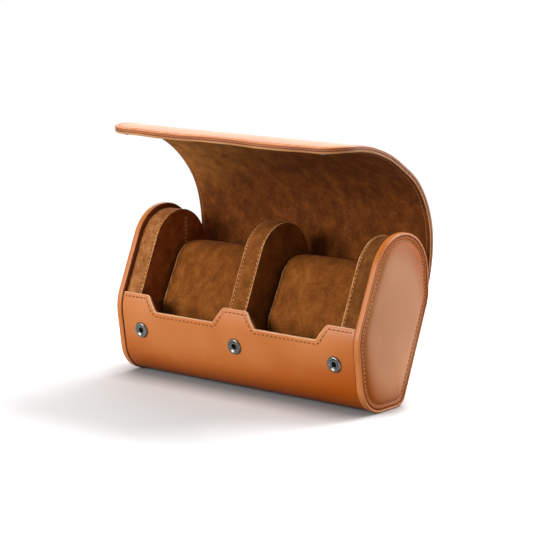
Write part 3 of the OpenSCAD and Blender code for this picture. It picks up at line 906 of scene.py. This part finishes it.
spaced = []
for x in (x for x in across if abs(x) <= 83.2):
    lean = (notch(x + 0.1) - notch(x - 0.1)) / 0.2
    size = math.hypot(1, lean)
    spot = (x - SEWN_IN * lean / size, WRAP_LONG - notch(x) - SEWN_IN / size)
    if not spaced or math.dist(spot, spaced[-1]) > 0.8:
        spaced.append(spot)
seam = sew("front seam", seam_on(wrap_place, spaced, 3.0), orange_thread, 1.7, 0.58)
add_seam(wrap, seam)
ride_case(wrap, "tan_leather", "case_wrap", "case_board")
print("wrap", len(wrap.data.polygons), "faces")

# %% [markdown]
# The bays are lined with the same suede as the lid. At the front edge the lining is turned over
# the board and glued behind the leather, so its top is a soft round fold.

# %% Bay linings
LINING_EDGE = [(-0.8, -2.42), (-0.5, -2.44), (-0.12, -2.55), (0.0, -2.8), (-0.05, -3.1),
               (-0.35, -3.32), (-0.8, -3.4)]
for side, word in ((-1, "left"), (1, "right")):
    columns = [x for x in across if 7.5 <= side * x <= 72.0]
    columns = ([6.7] + columns + [72.6]) if side > 0 else ([-72.6] + columns + [-6.7])
    rows = spread([0.8, WRAP_LONG - RELAX, WRAP_LONG - 1.1], 2.0)
    spots = [[(x, relaxed(x, v)) for x in columns] for v in rows]
    lining = cut_sheet(f"bay_lining_suede_{word}", spots, LINING_EDGE)
    tidy(lining, 60)
    bend(lining, wrap_place)
    edit(lining)
    tidy(lining, 60)
    paint(lining, [bay_suede], lambda c, n: 0)
    ride_case(lining, "suede", f"bay_lining_{word}")
print("lining", len(lining.data.polygons), "faces")

# %% [markdown]
# ## The lid
# The lid is one long flap: leather outside, a thin flexible board, suede inside, sewn together all
# round. It has no hinge but itself. The frame bends it at five joints, so the flap is cut flat, bent
# onto the joints' curve, and then parted between the joints.

# %% The lid's curve
BENDS = [(34, 46), (18, 13), (20, 22), (40, 30), (46, 26)]           # (length, turn in degrees)
LEAVES = 47.0                                       # direction in which the lid leaves the back
ROOTS = [sum(length for length, turn in BENDS[:k]) for k in range(len(BENDS) + 1)]
LID_LONG = ROOTS[-1]
HINGE = (32.06, HINGE_Z)
LAP = 9.0                                           # the leather glued down the back
LID_HALF = 1.7                                      # half the lid's thickness
ROOT_REACH, BEND_REACH = 5.0, 9.5                   # how far a bend is eased, each side of a joint
SHOULDER, DROOP, MORE_DROOP = 1.9, 1.1, 0.5         # how far the leather lies off the plain curve
DROOP_FROM = 128                                    # along the lid, where its front starts to droop
UP_BACK = run_facing(0) + 90                        # direction of the case's back


def lid_line(s):
    """Middle of the lid at s from its root: (y, z, direction in degrees)."""
    if s < 0:
        cy, cz = facing(UP_BACK)
        return HINGE[0] + s * cy, HINGE[1] + s * cz, UP_BACK
    (y, z), turn = HINGE, LEAVES
    for length, curl in BENDS:
        part = min(s, length)
        radius = length / math.radians(curl)
        now = turn + curl * part / length
        (ay, az), (by, bz) = facing(turn - 90), facing(now - 90)
        y, z, turn, s = y + radius * (by - ay), z + radius * (bz - az), now, s - part
        if s <= 1e-9:
            break
    return y, z, turn


def smooth(low, high, value):
    """0 up to low, 1 from high on, and an eased rise between them."""
    t = min(1.0, max(0.0, (value - low) / (high - low)))
    return t * t * (3 - 2 * t)


def lie(x, s):
    """How far soft leather stands off the plain curve: full behind one shoulder, drooping in front.
    The droop is larger between the snaps, because the sockets need room when the lid is shut."""
    full = SHOULDER * smooth(-20, 84, x) * smooth(22, 50, s) * (1 - smooth(74, 98, s))
    between = smooth(8, 30, abs(x)) * (1 - smooth(42, 62, abs(x)))
    share = max(0.0, (s - DROOP_FROM) / (LID_LONG - DROOP_FROM))
    return full - (DROOP + MORE_DROOP * between) * share ** 1.5


def lid_place(x, s, t):
    """Bend a flat point of the lid; t is its height over the middle of the lid, outwards."""
    if abs(s) < ROOT_REACH:                         # ease the turn where the lid leaves the back
        ya, za, da = lid_line(-ROOT_REACH)
        yb, zb, db = lid_line(ROOT_REACH)
        h = 2 * ROOT_REACH
        k = (s + ROOT_REACH) / h
        (day, daz), (dby, dbz) = facing(da), facing(db)
        a, b, c, d = (2*k**3 - 3*k**2 + 1, k**3 - 2*k**2 + k, -2*k**3 + 3*k**2, k**3 - k**2)
        y = a * ya + b * h * day + c * yb + d * h * dby
        z = a * za + b * h * daz + c * zb + d * h * dbz
        turn = da + (db - da) * smooth(0, 1, k)
    else:
        y, z, turn = lid_line(s)
    oy, oz = facing(turn - 90)
    if s < 1.0:                                     # the leather alone laps over the back
        low = -LID_HALF + 2.15 * (1 - smooth(-1.5, 1.0, s))
        high = LID_HALF - 0.5 * min(1.0, max(0.0, -s / LAP))
        t = low + (t + LID_HALF) / (2 * LID_HALF) * (high - low)
    t += lie(x, s)
    return Vector((x, y + t * oy, z + t * oz)) * MM


# %% [markdown]
# The flap's grid has a row at every cut between two joints, so no face is ever split, and its last
# rows close in round the two corners. The edge shows the layers, so its profile dips between them
# and each step of height gets its own finish: leather above, then burnished and stained bands in
# turn, a paler pared band, and suede below.

# %% Cut the lid
CORNER = 16.0                                       # radius of the two free corners
HALF_WIDE = 84.6
SEAM_IN, SEAM_PITCH = 2.3, 2.8                      # from the edge to the seam; its stitch length
PARTS = [-LAP - 1, 17.0, 43.0, 62.0, 92.0, 135.0, LID_LONG + 1]      # cuts between the joints
inner = 0.5
LID_EDGE = [(-inner, LID_HALF), (-0.22, 1.64), (-0.04, 1.45), (0.0, 1.2), (-0.1, 0.95),
            (-0.02, 0.75), (0.0, 0.45), (-0.08, 0.2), (-0.3, 0.1), (-0.32, -0.35), (-0.12, -0.45),
            (0.0, -0.7), (0.0, -1.2), (-0.12, -1.55), (-inner, -LID_HALF)]
rows = spread([-LAP + inner, 0.0, *PARTS[1:-1], LID_LONG - CORNER], 1.5)
rows += [LID_LONG - CORNER + (CORNER - inner) * math.sin(math.radians(a)) for a in range(6, 91, 6)]
spots = []
for s in rows:
    deep = max(0.0, s - (LID_LONG - CORNER))
    wide = HALF_WIDE - CORNER + math.sqrt(max(0.0, (CORNER - inner) ** 2 - deep ** 2))
    if deep == 0:
        wide = HALF_WIDE - inner
    spots.append([(wide * k / 24, s) for k in range(-24, 25)])
lid = cut_sheet("lid_whole", spots, LID_EDGE)
tidy(lid, 60)
keep_flat(lid)
LID_LAYERS = [(1.3, 0), (0.85, 2), (0.15, 1), (-0.42, 2), (-1.5, 4)]    # (lowest height, material)
paint(lid, [lid_leather, burnished, dark_edge, lid_suede, edge_light],
      lambda c, n: next((m for height, m in LID_LAYERS if c.z > height), 3))
print("lid laid out flat,", len(lid.data.polygons), "faces")

# %% [markdown]
# The whole flap is bent first, and its normals are fixed to the mesh. Only then is it copied for
# each part and the rest deleted, so two neighbours keep the same points and the same shading at
# their cut, and no line shows there.

# %% Bend it, and part it between the joints
bend(lid, lid_place)
edit(lid)
bpy.ops.mesh.select_all(action="SELECT")
bpy.ops.mesh.normals_make_consistent(inside=False)
bpy.ops.object.mode_set(mode="OBJECT")
take(lid)
bpy.ops.object.shade_smooth_by_angle(angle=math.radians(60))
bpy.ops.mesh.customdata_custom_splitnormals_add()
flat = [Vector(d.vector) for d in lid.data.attributes["flat"].data]
parts = []
for low, high in zip(PARTS, PARTS[1:]):
    new = lid.copy()
    new.data = lid.data.copy()
    bpy.context.collection.objects.link(new)
    edit(new)
    bm = bmesh.from_edit_mesh(new.data)
    bm.faces.ensure_lookup_table()
    for f in bm.faces:
        middle = sum(flat[v.index].y for v in f.verts) / len(f.verts) / MM
        f.select_set(not low < middle < high)
    bmesh.update_edit_mesh(new.data)
    bpy.ops.mesh.delete(type="FACE")
    bpy.ops.object.mode_set(mode="OBJECT")
    parts.append(new)
bpy.data.objects.remove(lid)


def edge_rows(inset):
    """The sewing line inside the lid's edge, from the root round the free edge, as (x, s)."""
    line = [(HALF_WIDE - inset, s) for s in spread([1.5, LID_LONG - CORNER], 1.0)]
    r = CORNER - inset
    for a in range(6, 91, 6):
        cx, cs = facing(a)
        line.append((HALF_WIDE - CORNER + r * cx, LID_LONG - CORNER + r * cs))
    return line + [(-x, s) for x, s in line[::-1]]


def sew_part(part, low, high, thread, t):
    """Stitches of the lid's edge seam that fall on one part."""
    line = edge_rows(SEAM_IN)
    every = zip(seam_on(lid_place, line, SEAM_PITCH, t), stations(line, SEAM_PITCH))
    mine = [one for one, (n, share) in every if low <= line[n][1] < high]
    if mine:
        add_seam(part, sew("lid seam", mine, thread, 2.0, 0.5))


NAMES = ["lid_root", "lid_behind", "lid_shoulder_bend", "lid_over_top", "lid_slope_bend",
         "lid_free_edge"]
STRETCHES = ["rear", "shoulder", "top", "slope", "front"]
LAYERS = ["leather", "board", "suede", "fold"]
STANDS_FOR = [["back_fold"]] + [[f"lid_{word}_{layer}" for layer in LAYERS] for word in STRETCHES]
STANDS_FOR[-1].remove("lid_front_fold")             # the free edge ends without a fold
for k, part in enumerate(parts):
    part.name = part.data.name = NAMES[k]
    for t, thread in ((LID_HALF, tan_thread), (-LID_HALF, brown_thread)):
        sew_part(part, max(PARTS[k], 1.0), PARTS[k + 1], thread, t)
    if k == 0:
        lap = [(x, -LAP + 2.6) for x in spread([-82.0, 82.0], 2.0)]
        seam = sew("lap seam", seam_on(lid_place, lap, SEAM_PITCH, LID_HALF), tan_thread, 2.0, 0.5)
        add_seam(part, seam)
    if k < len(STRETCHES):
        reach = ROOT_REACH if k == 0 else BEND_REACH
        lid_place(0, ROOTS[k] - reach, 0)
        lid_place(0, ROOTS[k] + reach, 0)
        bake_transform(part)
    else:
        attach(part, "lid_front")
    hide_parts(*STANDS_FOR[k])
print("lid parts", [len(p.data.polygons) for p in parts])

# %% [markdown]
# ## Pillows
# Each watch is buckled round a pillow: foam in a suede cover, with a round disc sewn into each end.
# The cover is cut a little small and the foam fills it, so the pillow swells between its seams.
# It starts as a plain smaller form, is remeshed into even cloth, and is blown up by a cloth
# simulation; it is then kept within the room it has in its bay, and its seams are laid on after.

# %% Pillow base
PILLOW_R, PILLOW_RISE, PILLOW_HALF = 18.0, 25.0, 32.2
LEAN_Z, LEAN_Y = facing(28)                         # the pillow leans back by this angle
CORD_SPOTS = 90                                     # places round a pillow's seam


def nearest(y, z, py, pz):
    """The spot on a pillow's leaning line, with its middle at (y, z), that is nearest (py, pz)."""
    up = max(-PILLOW_RISE / 2, min(PILLOW_RISE / 2, (py - y) * LEAN_Y + (pz - z) * LEAN_Z))
    return y + up * LEAN_Y, z + up * LEAN_Z


def stadium(y, z, radius, count=72):
    """Points round a pillow's section: two half rounds on a leaning line."""
    points = []
    for k in range(count):
        a = 2 * math.pi * k / count
        cy, cz = math.cos(a), math.sin(a)
        rise = PILLOW_RISE / 2 * (1 if cz >= 0 else -1)
        ay = y + radius * (cy * LEAN_Z + cz * LEAN_Y) + rise * LEAN_Y
        az = z + radius * (-cy * LEAN_Y + cz * LEAN_Z) + rise * LEAN_Z
        points.append((ay, az))
    return points


def pillow_shape(name, x0, y, z):
    """The pillow before it swells: a roll with rounded ends, 2 mm smaller than its room."""
    ends = [(-30.5, 12.0), (-30.3, 8.0), (-29.7, 4.4), (-28.7, 2.9), (-26.0, 2.2), (-19.0, 1.8),
            (-8.0, 1.6)]                            # (x, inset)
    profile = ends + [(-x, inset) for x, inset in ends[::-1]]
    loops = [[Vector((x0 + x, *p)) * MM for p in stadium(y, z, PILLOW_R - inset)]
             for x, inset in profile]
    return form(name, loops, angle=180)


def inflate(piece):
    """Even cloth, blown up by pressure and then made a plain mesh again."""
    take(piece)
    remesh = piece.modifiers.new("even cloth", "REMESH")
    remesh.mode = "VOXEL"
    remesh.voxel_size = 0.004
    bpy.ops.object.modifier_apply(modifier=remesh.name)
    cloth = piece.modifiers.new("swell", "CLOTH")
    cloth.settings.use_pressure = True
    cloth.settings.uniform_pressure_force = 4.0
    cloth.settings.effector_weights.gravity = 0.0
    cloth.settings.quality = 6
    cloth.point_cache.frame_start = 1
    cloth.point_cache.frame_end = 20
    for now in range(1, 21):
        bpy.context.scene.frame_set(now)
    bpy.ops.object.modifier_apply(modifier=cloth.name)
    even = piece.modifiers.new("smooth", "SUBSURF")
    even.levels = even.render_levels = 1
    bpy.ops.object.modifier_apply(modifier=even.name)


def keep_in(piece, x0, y, z, radius, half):
    """Hold a pillow within its bay: no point farther from its leaning line than radius."""
    for v in piece.data.vertices:
        p = v.co / MM
        ay, az = nearest(y, z, p.y, p.z)
        away = math.hypot(p.y - ay, p.z - az)
        limit = radius - 0.5 * abs((p.x - x0) / half) ** 4
        if away > limit:
            p.y, p.z = ay + (p.y - ay) * limit / away, az + (p.z - az) * limit / away
        p.x = max(x0 - half, min(x0 + half, p.x))
        v.co = p * MM


def ring_cord(name, tree, x, y, z, thick):
    """A thin cord round a pillow, laid on its cover at one place along it, and its spots."""
    spots = []
    for py, pz in stadium(y, z, PILLOW_R + 6, CORD_SPOTS):
        start = Vector((x, py, pz)) * MM
        out = (start - Vector((x, *nearest(y, z, py, pz))) * MM).normalized()
        spots.append((tree.ray_cast(start, -out)[0], out))
    loops = [[hit + (out * math.sin(a) + Vector((1, 0, 0)) * math.cos(a)) * thick / 2 * MM
              for a in (2 * math.pi * n / 8 for n in range(8))] for hit, out in spots]
    return form(name, loops, ends="ring", angle=180), spots


# %% [markdown]
# Each pillow takes its place from the frame's own cover. Once it is full, rays shot at it from
# outside find its surface all round, and the cord and the stitches of each end disc lie there.

# %% Pillows
for side, word in ((-1, "left"), (1, "right")):
    low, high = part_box(f"pillow_cover_{word}")
    x0, y, z = ((low + high) / 2) / MM
    pillow = pillow_shape(f"pillow_{word}", x0, y, z)
    inflate(pillow)
    keep_in(pillow, x0, y, z, PILLOW_R, PILLOW_HALF - 0.15)
    take(pillow)
    bpy.ops.object.shade_smooth()
    paint(pillow, [pillow_suede, seam_edge], lambda c, n: 0)
    tree = BVHTree.FromObject(pillow, bpy.context.evaluated_depsgraph_get())
    for end in (-1, 1):
        cord, spots = ring_cord("pillow seam", tree, x0 + end * (PILLOW_HALF - 3.4), y, z, 0.9)
        paint(cord, [seam_edge], lambda c, n: 0)
        frames = []
        for k in range(0, CORD_SPOTS, 2):
            hit, out = spots[k]
            ahead = spots[(k + 1) % CORD_SPOTS][0] - hit
            frames.append((hit - Vector((end * 1.6 * MM, 0, 0)), ahead, out))
        add_seam(pillow, cord)
        add_seam(pillow, sew("pillow stitches", frames, brown_thread, 1.9, 0.45))
    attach(pillow, f"pillow_{word}")
    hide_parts(f"pillow_cover_{word}", f"pillow_foam_{word}", f"pillow_ends_{word}")
    print("pillow", word, len(pillow.data.polygons), "faces")

# %% [markdown]
# ## Snaps
# A ring snap has two halves. The socket on the front panel is a pressed cap with a rolled rim, a
# shallow dish and a hole where a split spring grips. The stud under the lid's free edge is a
# flange with a short post and a ball head, riveted to a back plate inside the lid. All are turned
# shapes, drawn out ring by ring from their foot. The studs stay where they meet the sockets, and
# the plates follow the leather's droop, so that they stay inside it.

# %% Turned shapes
AROUND_AXIS = 36                                    # points in each ring


def turned(name, profile, seat, out):
    """A shape turned about an axis: profile is (radius, height) from its foot to its crown."""
    out = Vector(out).normalized()
    one = Vector((1, 0, 0))
    two = out.cross(one)
    loops = [[Vector(seat) + (one * math.cos(a) + two * math.sin(a)) * r * MM + out * h * MM
              for a in (2 * math.pi * k / AROUND_AXIS for k in range(AROUND_AXIS))]
             for r, h in profile]
    return form(name, loops, angle=50)


SNAPS = (-71.0, 0.0, 71.0)                          # the three snaps along x
SOCKET_Z = 28.6
# Inside this radius the hole's shallow floor is painted near black, painted shade.
SPRING_R = 1.76                                     # the hole is dark within this radius
SOCKET = [(2.1, -2.3), (2.15, -0.2), (4.5, -0.1), (4.68, 0.1), (4.7, 0.35), (4.62, 0.7),
          (4.42, 0.98), (4.1, 1.15), (3.7, 1.2), (3.3, 1.12), (3.0, 0.92), (2.75, 0.68),
          (2.45, 0.58), (2.15, 0.6), (1.98, 0.7), (1.85, 0.7), (1.72, 0.6), (1.67, 0.45),
          (1.6, 0.25), (1.2, 0.2), (0.7, 0.18)]
y, z, oy, oz = on_outline(seek(SOCKET_Z, FRONT_LOW, LOOP - 2, WRAP_IN), WRAP_IN)
axis = Vector((0, oy, oz))
sockets = []
for x in SNAPS:
    seat = Vector((x, y, z))
    socket = turned("socket", SOCKET, seat * MM, axis)
    paint(socket, [gunmetal, socket_hole_shade],
          lambda c, n: int((c - seat).cross(axis).length < SPRING_R and (c - seat).dot(axis) > 0))
    sockets.append(socket)
take(*sockets)
bpy.ops.object.join()
sockets = named("front_snap_socket_rings")
ride_case(sockets, "gunmetal", "front_snap_sockets")

# %% Studs and back plates
STUD_S = 152.96                                     # the studs' place along the lid
STUD_OUT = Vector((0, 0.1254, -0.9921))             # the way they point while the lid is open
STUD = [(1.9, -0.2), (2.3, 0.75), (2.42, 0.9), (2.45, 1.25), (2.35, 1.45), (1.9, 1.55), (1.3, 1.58),
        (1.02, 1.62), (1.04, 1.7), (1.18, 1.8), (1.2, 1.92), (1.05, 2.08), (0.7, 2.2)]
PLATE = [(0.6, 0.0), (3.6, 0.0), (3.7, 0.1), (3.6, 0.3), (0.6, 0.35)]
DROOPED = STUD_OUT + Vector((0, 0.09, 0.01))        # the same, turned with the leather's droop
studs, plates = [], []
for x in SNAPS:
    studs.append(turned("stud", STUD, lid_place(x, STUD_S, -LID_HALF - lie(x, STUD_S)), STUD_OUT))
    plates.append(turned("plate", PLATE, lid_place(x, STUD_S, 0.5), DROOPED))
for group, name, node in ((studs, "lid_snap_stud_heads", "lid_snap_studs"),
                          (plates, "lid_snap_back_plates", "lid_snap_backs")):
    take(*group)
    bpy.ops.object.join()
    whole = named(name)
    paint(whole, [gunmetal], lambda c, n: 0)
    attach(whole, "lid_front")
    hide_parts(node)
print("snaps", len(sockets.data.polygons), "faces in the sockets")

# %% [markdown]
# ## Floor, light and camera
# The roll stands on white paper that runs out to a white background. Paper under a roll gets light
# from the sky above and hardly any from the roll's own foot, so a painted contact shadow deepens its
# colour close to where it meets the leather. It also throws back less light than it shows, or the
# tan would look washed out from below. Farther away it fades to plain white, in reflections too.

# %% Floor
bpy.ops.mesh.primitive_plane_add(size=6.0, location=(0, 0, 0))
floor = named("floor")
paper, tree, shader = finish("white paper floor")
shader.inputs["Roughness"].default_value = 0.9
shader.inputs["Specular IOR Level"].default_value = 0.1
seen = add(tree, "ShaderNodeLightPath")
direct = add(tree, "ShaderNodeMath", {0: seen.outputs["Is Camera Ray"],
                                      1: seen.outputs["Is Glossy Ray"]}, operation="MAXIMUM")
tone = add(tree, "ShaderNodeMix", {"Factor": direct.outputs[0], "A": linear("#8C8C8C"),
                                   "B": linear("#F6F6F6")}, data_type="RGBA")
# Painted contact shadow: ambient occlusion darkens the paper's colour close to the roll.
corner = add(tree, "ShaderNodeAmbientOcclusion", {"Distance": 0.025}, samples=16)
dusk = add(tree, "ShaderNodeMapRange", {"Value": corner.outputs["AO"], "From Min": 0.35,
                                        "From Max": 0.95, "To Min": 0.4})
tone = add(tree, "ShaderNodeMix", {"Factor": 1.0, "A": tone.outputs["Result"], "B": dusk.outputs[0]},
           data_type="RGBA", blend_type="MULTIPLY")
tree.links.new(tone.outputs["Result"], shader.inputs["Base Color"])
at = add(tree, "ShaderNodeTexCoord").outputs["Object"]
away = add(tree, "ShaderNodeVectorMath", {0: at}, operation="LENGTH")
far = add(tree, "ShaderNodeMapRange", {"Value": away.outputs["Value"], "From Min": 0.22,
                                       "From Max": 0.6})
fade = add(tree, "ShaderNodeMath", {0: far.outputs[0], 1: direct.outputs[0]}, operation="MULTIPLY")
lift = add(tree, "ShaderNodeEmission", {"Color": linear("#FFFFFF"), "Strength": 1.0})
both = add(tree, "ShaderNodeMixShader", {0: fade.outputs[0], 1: shader.outputs[0], 2: lift.outputs[0]})
tree.links.new(both.outputs[0], tree.nodes["Material Output"].inputs["Surface"])
floor.data.materials.append(paper)

# %% [markdown]
# The room is plain white to the camera. It lights the roll at half that strength, which leaves
# the lamps something to do. In reflections it is brighter behind the roll than in front of it,
# because polished metal only looks like metal when it mirrors something dark as well.

# %% World
world = bpy.data.worlds.new("white room")
bpy.context.scene.world = world
world.use_nodes = True
tree = world.node_tree
tree.nodes.clear()
seen = add(tree, "ShaderNodeLightPath")
way = add(tree, "ShaderNodeTexCoord").outputs["Generated"]
toward = add(tree, "ShaderNodeSeparateXYZ", {"Vector": way})
behind = add(tree, "ShaderNodeMapRange", {"Value": toward.outputs["Y"], "From Min": -0.1,
                                          "From Max": 0.5, "To Min": 0.3},
             interpolation_type="SMOOTHSTEP")
plain_ray = add(tree, "ShaderNodeMath", {0: seen.outputs["Is Camera Ray"],
                                         1: seen.outputs["Is Transmission Ray"]}, operation="MAXIMUM")
room, wall, white = (add(tree, "ShaderNodeBackground", {"Color": linear("#FFFFFF"), "Strength": much})
                     for much in (0.5, behind.outputs[0], 1.0))
mirrored = add(tree, "ShaderNodeMixShader", {0: seen.outputs["Is Glossy Ray"], 1: room.outputs[0],
                                             2: wall.outputs[0]})
pick = add(tree, "ShaderNodeMixShader", {0: plain_ray.outputs[0], 1: mirrored.outputs[0],
                                         2: white.outputs[0]})
add(tree, "ShaderNodeOutputWorld", {"Surface": pick.outputs[0]})

# %% [markdown]
# Four soft boxes: one overhead and behind that rims the top of the lid, a wide one far behind, one
# in front that reaches into the bays, and one low at the right for the cap. Large boxes give
# leather its broad, soft highlights.

# %% Lamps
def softbox(name, place, target, size, power):
    """A rectangular area light at place, turned to its target."""
    bpy.ops.object.light_add(type="AREA", location=place)
    lamp = named(name)
    lamp.data.shape = "RECTANGLE"
    lamp.data.size, lamp.data.size_y = size
    lamp.data.energy = power
    lamp.rotation_euler = (Vector(target) - Vector(place)).to_track_quat("-Z", "Y").to_euler()
    return lamp


softbox("overhead softbox", (0.15, 0.65, 1.0), (0, 0, 0.08), (0.7, 0.45), 14.0)
softbox("back softbox", (-0.8, 1.1, 0.5), (0, 0, 0.12), (1.2, 0.7), 5.5)
softbox("front softbox", (-0.4, -1.1, 0.46), (0, 0, 0.06), (0.7, 0.4), 13.0)
softbox("right softbox", (0.7, 0.85, 0.22), (0.09, 0, 0.05), (0.6, 0.6), 7.0)

# %% [markdown]
# The camera stands a little more than a metre away with a long lens, as for a catalogue. It looks
# slightly down at the roll from the front right, and is rolled by a fifth of a degree.

# %% Camera
EYE = Vector((0.7288, -0.9157, 0.2884))
YAW, PITCH, ROLL = 2.23636, -0.190426, 0.003418
ahead = Vector((math.cos(PITCH) * math.cos(YAW), math.cos(PITCH) * math.sin(YAW), math.sin(PITCH)))
right = Vector((math.sin(YAW), -math.cos(YAW), 0))
up = right.cross(ahead)
right, up = (right * math.cos(ROLL) + up * math.sin(ROLL), up * math.cos(ROLL) - right * math.sin(ROLL))
bpy.ops.object.camera_add(location=EYE)
camera = named("camera")
camera.matrix_world = Matrix((right, up, -ahead)).transposed().to_4x4()
camera.matrix_world.translation = EYE
camera.data.sensor_width = 36.0
camera.data.lens = 132.57
camera.data.clip_end = 20.0
bpy.context.scene.camera = camera
bpy.context.scene.view_settings.view_transform = "Standard"
